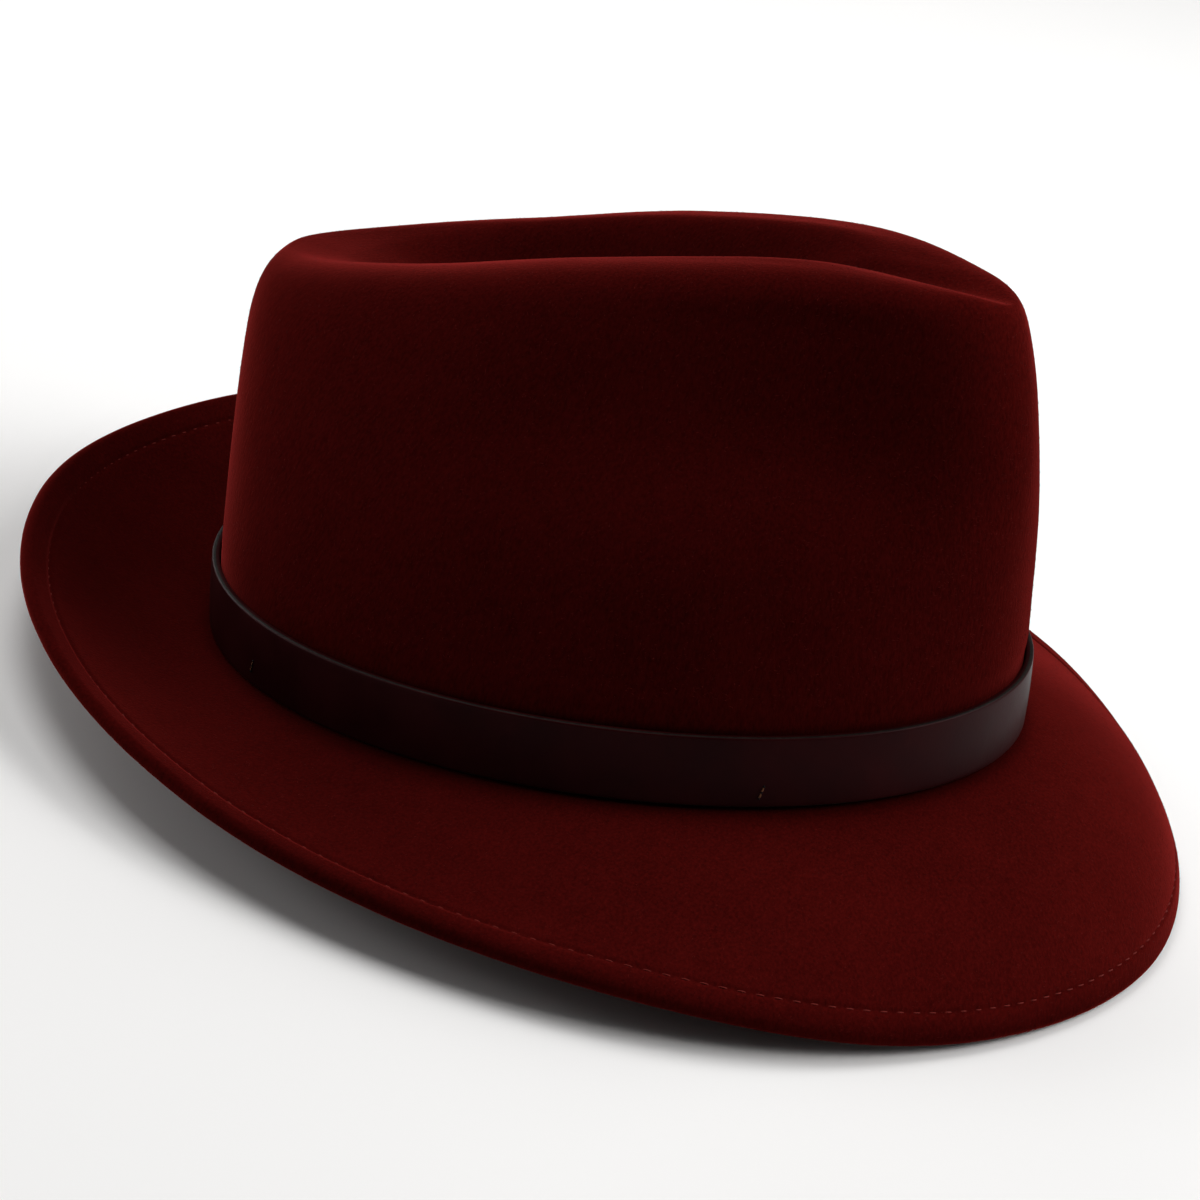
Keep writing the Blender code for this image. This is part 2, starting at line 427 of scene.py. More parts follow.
@dataclass
class HeadFrame:
    """How the hat lies on the floor: the head opening's frame turned nose up, then set down."""

    pitch_deg: float = 9.6
    seat: np.ndarray = field(default_factory=lambda: np.zeros(3))

    def turned(self, points: np.ndarray) -> np.ndarray:
        """Turns points or directions from the head opening's frame to the row's.

        Args:
            points: Triples in the head opening's frame.

        Returns:
            The turned triples.
        """
        turn = math.radians(self.pitch_deg)
        made = np.array(points, float)
        y = made[..., 1].copy()
        z = made[..., 2].copy()
        made[..., 1] = y * math.cos(turn) + z * math.sin(turn)
        made[..., 2] = z * math.cos(turn) - y * math.sin(turn)
        return made

    def sit(self, points: np.ndarray, low: Vector, high: Vector) -> None:
        """Sets the seat so that the points stand centred in the solid's box, on its floor.

        Args:
            points: All points of the hat, in the head opening's frame.
            low: Lowest corner of the solid's box.
            high: Highest corner of the solid's box.
        """
        flat = self.turned(points).reshape(-1, 3)
        least = flat.min(axis=0)
        most = flat.max(axis=0)
        middle = (np.array(low) + np.array(high)) / 2.0
        self.seat = (least + most) / 2.0 - middle
        self.seat[2] = least[2] - low[2]

    def laid(self, points: np.ndarray) -> np.ndarray:
        """Points carried from the head opening's frame to the row's."""
        return self.turned(points) - self.seat


def add_mesh(name: str, points: np.ndarray, faces: list[tuple[int, ...]]) -> bpy.types.Object:
    """Adds a smooth-shaded mesh to the scene.

    Args:
        name: The piece's name.
        points: Points as an array of triples.
        faces: Corners of each face.

    Returns:
        The new object.
    """
    mesh = bpy.data.meshes.new(name)
    mesh.from_pydata(points.reshape(-1, 3).tolist(), [], faces)
    mesh.update()
    mesh.polygons.foreach_set("use_smooth", [True] * len(mesh.polygons))
    thing = bpy.data.objects.new(name, mesh)
    bpy.context.scene.collection.objects.link(thing)
    return thing


def ring_faces(rows: int, columns: int, wrap: bool) -> list[tuple[int, ...]]:
    """Quads over closed rings of points.

    Args:
        rows: Number of rings.
        columns: Points in each ring.
        wrap: Whether the last ring joins the first.

    Returns:
        Corners of each quad.
    """
    upper = np.arange(rows if wrap else rows - 1)[:, None] * columns
    lower = (upper + columns) % (rows * columns)
    here = np.arange(columns)[None, :]
    beside = (here + 1) % columns
    quads = np.stack([upper + here, lower + here, lower + beside, upper + beside], axis=-1)
    return [tuple(quad) for quad in quads.reshape(-1, 4).tolist()]


def tubes(paths: np.ndarray, radii: np.ndarray, sides: int) -> tuple[np.ndarray, list[tuple[int, ...]]]:
    """Closed round tubes along many short paths at once.

    Args:
        paths: Centre lines, as tubes by steps by triples.
        radii: Radius at each step, the same for all tubes.
        sides: Sides of each tube.

    Returns:
        Points of all the tubes, and their faces.
    """
    count, steps, _ = paths.shape
    along = unit(np.gradient(paths, axis=1))
    guide = np.where(np.abs(along[..., 2:3]) < 0.8, np.array([0.0, 0.0, 1.0]), np.array([1.0, 0.0, 0.0]))
    across = unit(np.cross(along, guide))
    lift = np.cross(across, along)
    turn = np.arange(sides) / sides * 2.0 * math.pi
    ring = across[:, :, None] * np.cos(turn)[:, None] + lift[:, :, None] * np.sin(turn)[:, None]
    shell = paths[:, :, None] + ring * radii[None, :, None, None]
    faces = []
    quads = ring_faces(steps, sides, wrap=False)
    for tube in range(count):
        first = tube * steps * sides
        faces.extend(tuple(first + corner for corner in quad) for quad in quads)
        faces.append(tuple(first + side for side in range(sides)))
        faces.append(tuple(first + (steps - 1) * sides + side for side in reversed(range(sides))))
    return shell, faces


@dataclass(frozen=True)
class Finish:
    """What a piece is finished in: the finish's name and the shader that gives its look."""

    name: str

    def shader(self, tree: bpy.types.NodeTree) -> bpy.types.Node:
        """Adds the finish's shader and all that feeds it.

        Args:
            tree: The material's empty node tree.

        Returns:
            The shader's node.
        """
        raise NotImplementedError

    def make(self) -> bpy.types.Material:
        """Builds the finish's material.

        Returns:
            The material.
        """
        material = bpy.data.materials.new(self.name)
        material.use_nodes = True
        material.node_tree.nodes.clear()
        shader = self.shader(material.node_tree)
        add_node(material.node_tree, "ShaderNodeOutputMaterial", {"Surface": shader.outputs["BSDF"]})
        return material


@dataclass(frozen=True)
class FurFelt(Finish):
    """Rabbit fur felt, blocked over wood, shaved and brushed to a short nap.

    The eye sees a deep, dull colour that clouds a little from place to place, the grain of the cut nap, and
    a velvety lightening where the nap is seen edge on. Single fibres are about 0.02 mm thick and too fine to
    show, so the nap's grain is drawn as tufts of 0.75 mm.
    """

    name: str = "fur_felt_burgundy"
    body: str = "340605"
    sheen_tint: str = "FF534E"
    sheen: float = 0.42
    sheen_roughness: float = 0.3
    roughness: float = 0.95
    cloud: float = 34.0 * MM
    cloud_share: float = 0.45
    fleck: float = 5.0 * MM
    fleck_share: float = 0.35
    nap: float = 0.75 * MM
    nap_share: float = 1.40
    nap_lay: float = 0.38
    nap_depth: float = 0.12 * MM
    # Point attribute with painted light and shade, which scales the felt's colour.
    tone: str = "painted_light_and_shade"

    def shader(self, tree: bpy.types.NodeTree) -> bpy.types.Node:
        """Adds the felt's shader and all that feeds it.

        Args:
            tree: The material's empty node tree.

        Returns:
            The shader's node.
        """
        place = add_node(tree, "ShaderNodeTexCoord").outputs["Object"]
        combed = add_node(
            tree, "ShaderNodeVectorMath",
            {"Vector": place, "Vector_001": (1.0, 1.0, self.nap_lay)}, operation="MULTIPLY",
        ).outputs["Vector"]
        level = 1.0 - (self.cloud_share + self.fleck_share + self.nap_share) / 2.0
        grains = {}
        for size, share, detail, lay in (
            (self.cloud, self.cloud_share, 3.0, place),
            (self.fleck, self.fleck_share, 4.0, place),
            (self.nap, self.nap_share, 3.0, combed),
        ):
            grains[size] = add_node(
                tree, "ShaderNodeTexNoise",
                {"Vector": lay, "Scale": 1.0 / size, "Detail": detail, "Roughness": 0.62},
            ).outputs["Fac"]
            level = add_node(
                tree, "ShaderNodeMath", {"Value": grains[size], "Value_001": share, "Value_002": level},
                operation="MULTIPLY_ADD",
            ).outputs[0]
        # Scales the felt's colour by the painted light and shade that the felt body stores on its points.
        tone = add_node(tree, "ShaderNodeAttribute", attribute_name=self.tone).outputs["Fac"]
        level = add_node(
            tree, "ShaderNodeMath", {"Value": level, "Value_001": tone}, operation="MULTIPLY",
        ).outputs[0]
        colour = add_node(
            tree, "ShaderNodeVectorMath",
            {"Vector": linear(self.body)[:3], "Scale": level}, operation="SCALE",
        ).outputs["Vector"]
        bump = add_node(
            tree, "ShaderNodeBump",
            {"Height": grains[self.nap], "Strength": 0.9, "Distance": self.nap_depth},
        ).outputs["Normal"]
        return add_node(
            tree, "ShaderNodeBsdfPrincipled",
            {
                "Base Color": colour,
                "Roughness": self.roughness,
                "Specular IOR Level": 0.0,
                "Sheen Weight": self.sheen,
                "Sheen Roughness": self.sheen_roughness,
                "Sheen Tint": linear(self.sheen_tint),
                "Normal": bump,
            },
        )


@dataclass(frozen=True)
class BridleLeather(Finish):
    """Drum-dyed cowhide, shaved level and plated smooth with a wax finish.

    The eye sees a near-black cherry face, almost without grain, that catches a broad soft light as a grey
    sheen. Its real pores, some 0.1 mm apart, are too fine to show and are drawn 0.9 mm apart.
    """

    name: str = "leather_black_cherry"
    dark: str = "220406"
    light: str = "2A0709"
    roughness: float = 0.42
    ior: float = 1.12
    pore: float = 0.9 * MM
    pore_depth: float = 0.02 * MM
    cloud: float = 18.0 * MM

    def shader(self, tree: bpy.types.NodeTree) -> bpy.types.Node:
        """Adds the leather's shader and all that feeds it.

        Args:
            tree: The material's empty node tree.

        Returns:
            The shader's node.
        """
        place = add_node(tree, "ShaderNodeTexCoord").outputs["Object"]
        cells = add_node(
            tree, "ShaderNodeTexVoronoi",
            {"Vector": place, "Scale": 1.0 / self.pore}, feature="F1",
        ).outputs["Distance"]
        clouds = add_node(
            tree, "ShaderNodeTexNoise",
            {"Vector": place, "Scale": 1.0 / self.cloud, "Detail": 4.0, "Roughness": 0.6},
        ).outputs["Fac"]
        ramp = add_node(tree, "ShaderNodeValToRGB", {"Fac": clouds})
        ramp.color_ramp.elements[0].position = 0.38
        ramp.color_ramp.elements[0].color = linear(self.dark)
        ramp.color_ramp.elements[1].position = 0.64
        ramp.color_ramp.elements[1].color = linear(self.light)
        rough = add_node(
            tree, "ShaderNodeMapRange",
            {"Value": clouds, "From Min": 0.3, "From Max": 0.7,
             "To Min": self.roughness - 0.04, "To Max": self.roughness + 0.05},
        ).outputs["Result"]
        bump = add_node(
            tree, "ShaderNodeBump",
            {"Height": cells, "Strength": 0.5, "Distance": self.pore_depth},
        ).outputs["Normal"]
        return add_node(
            tree, "ShaderNodeBsdfPrincipled",
            {"Base Color": ramp.outputs["Color"], "Roughness": rough, "IOR": self.ior, "Normal": bump},
        )


@dataclass(frozen=True)
class EdgePaint(Finish):
    """Flat acrylic edge paint, brushed on the cut edge of the leather.

    The eye sees a matt charcoal line, a little uneven, with dust caught in it.
    """

    name: str = "edge_paint_charcoal"
    dark: str = "0F0C0A"
    light: str = "231E19"
    roughness: float = 0.55
    ior: float = 1.2
    speck: float = 1.1 * MM

    def shader(self, tree: bpy.types.NodeTree) -> bpy.types.Node:
        """Adds the edge paint's shader and all that feeds it.

        Args:
            tree: The material's empty node tree.

        Returns:
            The shader's node.
        """
        place = add_node(tree, "ShaderNodeTexCoord").outputs["Object"]
        specks = add_node(
            tree, "ShaderNodeTexNoise",
            {"Vector": place, "Scale": 1.0 / self.speck, "Detail": 3.0, "Roughness": 0.7},
        ).outputs["Fac"]
        ramp = add_node(tree, "ShaderNodeValToRGB", {"Fac": specks})
        ramp.color_ramp.elements[0].position = 0.40
        ramp.color_ramp.elements[0].color = linear(self.dark)
        ramp.color_ramp.elements[1].position = 0.68
        ramp.color_ramp.elements[1].color = linear(self.light)
        bump = add_node(
            tree, "ShaderNodeBump", {"Height": specks, "Strength": 0.6, "Distance": 0.05 * MM},
        ).outputs["Normal"]
        return add_node(
            tree, "ShaderNodeBsdfPrincipled",
            {
                "Base Color": ramp.outputs["Color"],
                "Roughness": self.roughness,
                "IOR": self.ior,
                "Normal": bump,
            },
        )


@dataclass(frozen=True)
class SpunThread(Finish):
    """Spun polyester sewing thread.

    The eye sees a matt, slightly hairy cord whose twist shows as a fine slant.
    """

    name: str = "spun_thread_brick"
    colour: str = "6E1C16"
    roughness: float = 0.75
    specular: float = 0.15
    twist: float = 0.5 * MM

    def shader(self, tree: bpy.types.NodeTree) -> bpy.types.Node:
        """Adds the thread's shader and all that feeds it.

        Args:
            tree: The material's empty node tree.

        Returns:
            The shader's node.
        """
        place = add_node(tree, "ShaderNodeTexCoord").outputs["Object"]
        twist = add_node(
            tree, "ShaderNodeTexNoise",
            {"Vector": place, "Scale": 1.0 / self.twist, "Detail": 2.0},
        ).outputs["Fac"]
        bump = add_node(
            tree, "ShaderNodeBump", {"Height": twist, "Strength": 0.7, "Distance": 0.06 * MM},
        ).outputs["Normal"]
        return add_node(
            tree, "ShaderNodeBsdfPrincipled",
            {
                "Base Color": linear(self.colour),
                "Roughness": self.roughness,
                "Specular IOR Level": self.specular,
                "Normal": bump,
            },
        )


@dataclass(frozen=True)
class TackThread(SpunThread):
    """Spun polyester thread in tan, which gives the eye two small light dashes on the dark band."""

    name: str = "spun_thread_tan"
    colour: str = "7C5238"


@dataclass(frozen=True)
class NeedleHolePaintedShade(SpunThread):
    """Painted shade: a near-black filling for the shade in a needle hole, where thread and raw leather lie,
    which the eye sees as a black point.
    """

    name: str = "needle_hole_shade"
    colour: str = "050304"


@dataclass(frozen=True)
class FurFibre(Finish):
    """Single dyed fur fibres.

    The eye sees fine warm specks that are a little lighter than the felt under them. The tint changes over
    patches of 2.4 mm, because that of each fibre alone would be too fine to show.
    """

    name: str = "dyed_fur_fibre_burgundy"
    dark: str = "300606"
    light: str = "74201B"
    roughness: float = 0.65
    specular: float = 0.05
    patch: float = 2.4 * MM

    def shader(self, tree: bpy.types.NodeTree) -> bpy.types.Node:
        """Adds the fibres' shader and all that feeds it.

        Args:
            tree: The material's empty node tree.

        Returns:
            The shader's node.
        """
        place = add_node(tree, "ShaderNodeTexCoord").outputs["Object"]
        spread = add_node(
            tree, "ShaderNodeTexNoise", {"Vector": place, "Scale": 1.0 / self.patch},
        ).outputs["Fac"]
        ramp = add_node(tree, "ShaderNodeValToRGB", {"Fac": spread})
        ramp.color_ramp.elements[0].position = 0.35
        ramp.color_ramp.elements[0].color = linear(self.dark)
        ramp.color_ramp.elements[1].position = 0.70
        ramp.color_ramp.elements[1].color = linear(self.light)
        return add_node(
            tree, "ShaderNodeBsdfPrincipled",
            {
                "Base Color": ramp.outputs["Color"],
                "Roughness": self.roughness,
                "Specular IOR Level": self.specular,
            },
        )


@dataclass(frozen=True)
class StudioPaper(Finish):
    """Matt seamless paper, which gives the eye an even, very pale ground with no gloss."""

    name: str = "seamless_paper_white"
    colour: str = "F6F5F4"
    roughness: float = 0.95
    specular: float = 0.1

    def shader(self, tree: bpy.types.NodeTree) -> bpy.types.Node:
        """Adds the paper's shader and all that feeds it.

        Args:
            tree: The material's empty node tree.

        Returns:
            The shader's node.
        """
        return add_node(
            tree, "ShaderNodeBsdfPrincipled",
            {
                "Base Color": linear(self.colour),
                "Roughness": self.roughness,
                "Specular IOR Level": self.specular,
            },
        )


class FeltFace(NamedTuple):
    """The felt's outer face as rows by columns, in the head opening's frame."""

    points: np.ndarray
    normals: np.ndarray
    inset: np.ndarray
    groove: np.ndarray
    free: np.ndarray


@dataclass
class FeltBody:
    """Crown and brim of one piece of felt, with its rolled and stitched edge."""

    block: HatBlock
    frame: HeadFrame
    # Columns around the hat, and rows over each stretch of the felt.
    columns: int = 384
    top_rows: int = 34
    wall_rows: int = 58
    brim_rows: int = 44
    welt_rows: int = 26
    hem_rows: int = 9
    under_rows: int = 74
    top_reach: float = 0.97
    fine_steps: int = 800
    # Where the waves start and come to their full height: a share of the wall, and a length over the brim.
    still_wall: tuple[float, float] = (0.04, 0.16)
    still_brim: tuple[float, float] = (4.0 * MM, 12.0 * MM)
    # Sewn edge: the seam's groove, and the welt that puffs up outside it.
    seam_inset: float = 7.5 * MM
    seam_depth: float = 0.30 * MM
    seam_half_width: float = 0.7 * MM
    welt_puff: float = 0.22 * MM
    # Hand-blocked waves.
    wave: float = 0.22 * MM
    wave_length: float = 38.0 * MM
    ripple: float = 0.05 * MM
    ripple_length: float = 11.0 * MM
    # Painted light and shade on the felt: factors on the felt's colour, with how far and between which
    # angles they act.
    # Painted light: the brim drawn lighter, most of all at its front.
    back_painted_light: float = 1.06
    front_painted_light: float = 1.62
    tone_turn: tuple[float, float] = (50.0, 100.0)
    tone_reach: float = 6.0 * MM
    # Painted highlight at the crown's tip and along the front of its rim.
    tip_painted_highlight: float = 1.50
    tip_reach: float = 19.0 * MM
    crest_painted_highlight: float = 1.28
    crest_turn: tuple[float, float] = (30.0, 75.0)
    crest_reach: float = 6.5 * MM
    # Painted shade along the brim's edge at its front and sides.
    edge_painted_shade: float = 0.55
    edge_reach: float = 4.2 * MM
    edge_turn: tuple[float, float] = (80.0, 115.0)
    # Painted shadow on the felt beside the band: on the brim below it and on the crown above it.
    brim_painted_shadow: float = 0.45
    wall_painted_shadow: float = 0.16
    shade_start: float = 2.3 * MM
    shade_reach: float = 3.0 * MM

    def angles(self) -> np.ndarray:
        """Angles of the mesh's columns, in degrees."""
        return np.arange(self.columns) * 360.0 / self.columns

    def even_shares(self, points: np.ndarray, shares: np.ndarray, count: int) -> np.ndarray:
        """Picks shares that lie at even steps over a line of points.

        Args:
            points: Points of the line.
            shares: Share at each point.
            count: How many shares to pick.

        Returns:
            The picked shares, the line's two ends among them.
        """
        steps = np.linalg.norm(np.diff(points, axis=0), axis=-1)
        length = np.concatenate([[0.0], np.cumsum(steps)])
        return np.interp(np.linspace(0.0, length[-1], count), length, shares)

    def outer_rows(self) -> tuple[np.ndarray, np.ndarray, np.ndarray]:
        """Rows over the felt's outer face, from the sunk top's centre out to the brim's edge.

        Returns:
            Points as rows by columns, each point's distance in from the brim's edge, and how freely the
            felt may wave there, which is nothing under the band.
        """
        block = self.block
        angles = self.angles()
        side = np.array([90.0])
        fine = np.linspace(0.0, 1.0, self.fine_steps)
        top = self.even_shares(block.top_points(side, fine)[:, 0], fine, self.top_rows) * self.top_reach
        wall = self.even_shares(block.wall_points(side, fine)[:, 0], fine, self.wall_rows)[:-1]
        corner = block.head_oval(angles)[0]
        upper = corner + np.array([0.0, 0.0, block.break_radius])
        lower = block.brim_points(angles, np.full((1, self.columns), block.break_radius))[0]
        fillet = np.stack([upper, (upper + 2.0 * corner + lower) / 4.0])
        widths = block.brim_widths(angles)
        plain = block.break_radius + np.linspace(0.0, 1.0, self.brim_rows)[:, None] * (
            widths - block.welt_width - 2.0 * block.welt_step - block.break_radius
        )
        welt = widths - np.linspace(
            block.welt_width + block.welt_step, block.felt, self.welt_rows,
        )[:, None]
        distances = np.concatenate([plain, welt])
        rows = np.concatenate([
            block.top_points(angles, top[::-1]),
            block.wall_points(angles, wall[::-1]),
            fillet,
            block.brim_points(angles, distances),
        ])
        before = len(rows) - len(distances)
        inset = np.tile(widths, (len(rows), 1))
        inset[before:] = widths - distances
        free = np.ones(rows.shape[:2])
        still, loose = self.still_wall
        free[len(top):len(top) + len(wall)] = ease((wall[::-1] - still) / (loose - still))[:, None]
        free[before - len(fillet):before] = 0.0
        still, loose = self.still_brim
        free[before:] = ease((distances - still) / (loose - still))
        return rows, inset, free

    def outward(self, rows: np.ndarray) -> np.ndarray:
        """Finds the directions out of the felt's outer face.

        Args:
            rows: Points of the face, as rows by columns.

        Returns:
            One direction at each point.
        """
        down = np.gradient(rows, axis=0)
        along = np.roll(rows, -1, axis=1) - np.roll(rows, 1, axis=1)
        return unit(np.cross(down, along))

    def waves(self, rows: np.ndarray) -> np.ndarray:
        """Height of the felt's gentle hand-blocked waves.

        Args:
            rows: Points of the felt's outer face.

        Returns:
            One height at each point.
        """
        heights = [
            self.wave * noise.noise(point / self.wave_length)
            + self.ripple * noise.noise(point / self.ripple_length)
            for point in (Vector(place) for place in rows.reshape(-1, 3))
        ]
        return np.array(heights).reshape(rows.shape[:2])

    def crown_painted_highlight(self, points: np.ndarray) -> np.ndarray:
        """Painted highlight at the crown's tip and along the front of its rim.

        Args:
            points: Points of the outer face, as rows by columns.

        Returns:
            What the felt's colour gains at each point, as a share of it.
        """
        tip = self.block.rim_points(np.zeros(1))[0]
        from_tip = np.linalg.norm(points - tip, axis=-1) / self.tip_reach
        from_crest = np.linalg.norm(points - self.block.rim_points(self.angles()), axis=-1)
        near_crest = np.exp(-from_crest / self.crest_reach) * front_share(self.angles(), self.crest_turn)
        return (self.tip_painted_highlight - 1.0) * np.exp(-(from_tip**2)) + (self.crest_painted_highlight - 1.0) * near_crest

    def brim_painted_light(self, over_brim: np.ndarray) -> np.ndarray:
        """Painted light on the brim, most of all at its front.

        Args:
            over_brim: Distance out from the crown's foot at each point.

        Returns:
            What the felt's colour gains at each point, as a share of it.
        """
        front = (self.front_painted_light - self.back_painted_light) * front_share(self.angles(), self.tone_turn)
        return (self.back_painted_light + front - 1.0) * ease(over_brim / self.tone_reach)

    def band_painted_shadow(self, points: np.ndarray, over_brim: np.ndarray) -> np.ndarray:
        """Painted shadow on the felt beside the band, on the brim below it and on the crown above it.

        Args:
            points: Points of the outer face, as rows by columns.
            over_brim: Distance out from the crown's foot at each point, 0 on the crown.

        Returns:
            What the felt's colour loses at each point, as a share of it.
        """
        beside = np.maximum(over_brim - self.shade_start, 0.0)
        above = np.maximum(points[..., 2] - self.block.band_top, 0.0)
        return np.where(
            over_brim > 0.0,
            self.brim_painted_shadow * np.exp(-beside / self.shade_reach),
            self.wall_painted_shadow * np.exp(-above / self.shade_reach),
        )

    def painted_tones(self, points: np.ndarray, inset: np.ndarray) -> np.ndarray:
        """Painted light and shade on the felt, from place to place.

        Args:
            points: Points of the outer face, as rows by columns.
            inset: Distance in from the brim's edge at each point.

        Returns:
            A factor on the felt's colour at each point.
        """
        over_brim = self.block.brim_widths(self.angles()) - inset
        gain = self.brim_painted_light(over_brim) + self.crown_painted_highlight(points)
        shade = self.band_painted_shadow(points, over_brim)
        # Painted shade along the brim's edge, fading towards the back.
        edge_shade_spread = np.exp(-((inset / self.edge_reach) ** 2)) * front_share(self.angles(), self.edge_turn)
        return (1.0 + gain) * (1.0 - shade) * (1.0 - self.edge_painted_shade * edge_shade_spread)

    def surface(self) -> FeltFace:
        """Shapes the felt's outer face with its waves, the puffed welt and the seam's groove.

        Returns:
            The outer face.
        """
        rows, inset, free = self.outer_rows()
        groove = np.exp(-(((inset - self.seam_inset) / self.seam_half_width) ** 2)) * self.seam_depth
        puffed = np.sin(math.pi * np.clip(inset / self.seam_inset, 0.0, 1.0)) * self.welt_puff
        lift = self.waves(rows) * free + puffed - groove
        rows = rows + self.outward(rows) * lift[..., None]
        return FeltFace(rows, self.outward(rows), inset, groove, free)

    def hem(self, outer: np.ndarray, under: np.ndarray) -> np.ndarray:
        """Rounds the brim's folded edge from its top face to its underside.

        Args:
            outer: Points of the outer face, as rows by columns.
            under: Points of the under face, in the same order.

        Returns:
            Points of the rounded edge, as rows by columns.
        """
        downhill = unit(outer[-1] - outer[-2])
        centre = (outer[-1] + under[-1]) / 2.0
        half = (outer[-1] - under[-1]) / 2.0
        radius = np.linalg.norm(half, axis=-1, keepdims=True)
        turns = np.linspace(0.0, math.pi, self.hem_rows + 2)[1:-1]
        reach = downhill * radius
        return np.stack([centre + half * math.cos(turn) + reach * math.sin(turn) for turn in turns])

    def kept_rows(self, count: int) -> np.ndarray:
        """Picks the outer face's rows that the plainer under face keeps.

        Args:
            count: Number of rows of the outer face.

        Returns:
            Numbers of the kept rows: fewer over the crown and the brim, and all of the welt's.
        """
        crown = count - self.brim_rows - self.welt_rows
        return np.unique(np.concatenate([
            np.linspace(0, crown, self.under_rows // 2).astype(int),
            np.linspace(crown, crown + self.brim_rows, self.under_rows // 4).astype(int),
            np.arange(crown + self.brim_rows, count),
        ]))

    def closed_mesh(self, rows: np.ndarray) -> bpy.types.Object:
        """Makes the felt's mesh, closed at the sunk top's centre on both faces.

        Args:
            rows: Points from the sunk top's centre out to the edge and back under it, as rows by columns.

        Returns:
            The felt's object.
        """
        middle = self.block.top_centre()
        ends = np.stack([middle, middle - np.array([0.0, 0.0, self.block.felt])])
        points = np.concatenate([self.frame.laid(rows).reshape(-1, 3), self.frame.laid(ends)])
        faces = ring_faces(len(rows), self.columns, wrap=False)
        last = (len(rows) - 1) * self.columns
        for column in range(self.columns):
            beside = (column + 1) % self.columns
            faces.append((len(points) - 2, column, beside))
            faces.append((len(points) - 1, last + beside, last + column))
        return add_mesh("felt_hat_body", points, faces)

    def build(self) -> bpy.types.Object:
        """Builds the felt and sets the hat down in its solid's box.

        Returns:
            The felt's object.
        """
        block = self.block
        outer, normals, inset, groove, _ = self.surface()
        thick = block.felt * (1.0 + ease((block.welt_width + block.welt_step - inset) / block.welt_step))
        under_groove = np.where(inset < block.welt_width, groove, 0.0)
        under = outer - normals * (thick - under_groove)[..., None]
        hem = self.hem(outer, under)
        kept = self.kept_rows(len(outer))
        rows = np.concatenate([outer, hem, under[kept][::-1]])
        self.frame.sit(rows, *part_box(Node.FELT.value))
        felt = self.closed_mesh(rows)
        finish = FurFelt()
        # Painted light and shade, stored on the felt's points; the hem takes the edge's values and the under
        # face those of the outer face.
        face_painted_tones = self.painted_tones(outer, inset)
        hem_painted_tones = np.repeat(face_painted_tones[-1:], len(hem), axis=0)
        painted_tones = np.concatenate([face_painted_tones, hem_painted_tones, face_painted_tones[kept][::-1]])
        tone = felt.data.attributes.new(finish.tone, "FLOAT", "POINT")
        tone.data.foreach_set("value", np.append(painted_tones.reshape(-1), [1.0, 1.0]).astype(np.float32))
        felt.data.materials.append(finish.make())
        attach(felt, Body.HAT.value)
        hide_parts(Node.FELT.value)
        return felt


@dataclass
class LooseNap:
    """Short fur fibres that stand out of the brushed nap over the crown and the brim.

    Each is drawn some four times as thick as a real one, because that would be too fine to show.
    """

    felt: FeltBody
    frame: HeadFrame
    count: int = 40000
    shortest: float = 0.35 * MM
    longest: float = 1.05 * MM
    radius: float = 0.040 * MM
    root_depth: float = 0.05 * MM
    lean_deg: tuple[float, float] = (6.0, 27.0)
    lay_spread_deg: float = 55.0
    least_free: float = 0.3
    seed: int = 11

    def roots(self, dice: np.random.Generator) -> tuple[np.ndarray, np.ndarray, np.ndarray, np.ndarray]:
        """Scatters the fibres' roots evenly over the felt, clear of the band.

        Args:
            dice: Source of random numbers.

        Returns:
            The roots, and at each the directions out of the felt, around the hat and down over it.
        """
        face = self.felt.surface()
        here = face.points[:-1]
        below = face.points[1:]
        beside = np.roll(here, -1, axis=1)
        area = np.linalg.norm(np.cross(beside - here, below - here), axis=-1)
        odds = (area * np.where(face.free[:-1] > self.least_free, 1.0, 0.0)).reshape(-1)
        picks = dice.choice(len(odds), size=self.count, p=odds / odds.sum())
        start = here.reshape(-1, 3)[picks]
        around = beside.reshape(-1, 3)[picks] - start
        down = below.reshape(-1, 3)[picks] - start
        normal = face.normals[:-1].reshape(-1, 3)[picks]
        along_row, along_column = dice.random((2, self.count, 1))
        root = start + around * along_row + down * along_column - normal * self.root_depth
        return root, normal, unit(around), unit(down)

    def build(self) -> bpy.types.Object:
        """Builds the fibres as fine three-sided needles.

        Returns:
            The fibres, joined in one object.
        """
        dice = np.random.default_rng(self.seed)
        root, normal, around, down = self.roots(dice)
        turn = np.radians(dice.normal(0.0, self.lay_spread_deg, (self.count, 1)))
        lean = np.radians(dice.uniform(*self.lean_deg, (self.count, 1)))
        lay = around * np.cos(turn) + down * np.sin(turn)
        way = unit(lay * np.cos(lean) + normal * np.sin(lean))
        length = dice.uniform(self.shortest, self.longest, (self.count, 1))
        across = unit(np.cross(way, normal))
        over = np.cross(across, way)
        corners = [
            root + (across * math.cos(turned) + over * math.sin(turned)) * self.radius
            for turned in (math.pi / 2.0, math.pi * 7.0 / 6.0, math.pi * 11.0 / 6.0)
        ]
        points = np.stack([*corners, root + way * length], axis=1)
        first = (np.arange(self.count) * 4)[:, None, None]
        sides = np.array([[0, 1, 3], [1, 2, 3], [2, 0, 3], [2, 1, 0]])[None]
        faces = [tuple(corner) for corner in (first + sides).reshape(-1, 3).tolist()]
        fibres = add_mesh("loose_nap_fibres", self.frame.laid(points.reshape(-1, 3)), faces)
        fibres.data.materials.append(FurFibre().make())
        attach(fibres, Body.HAT.value)
        return fibres


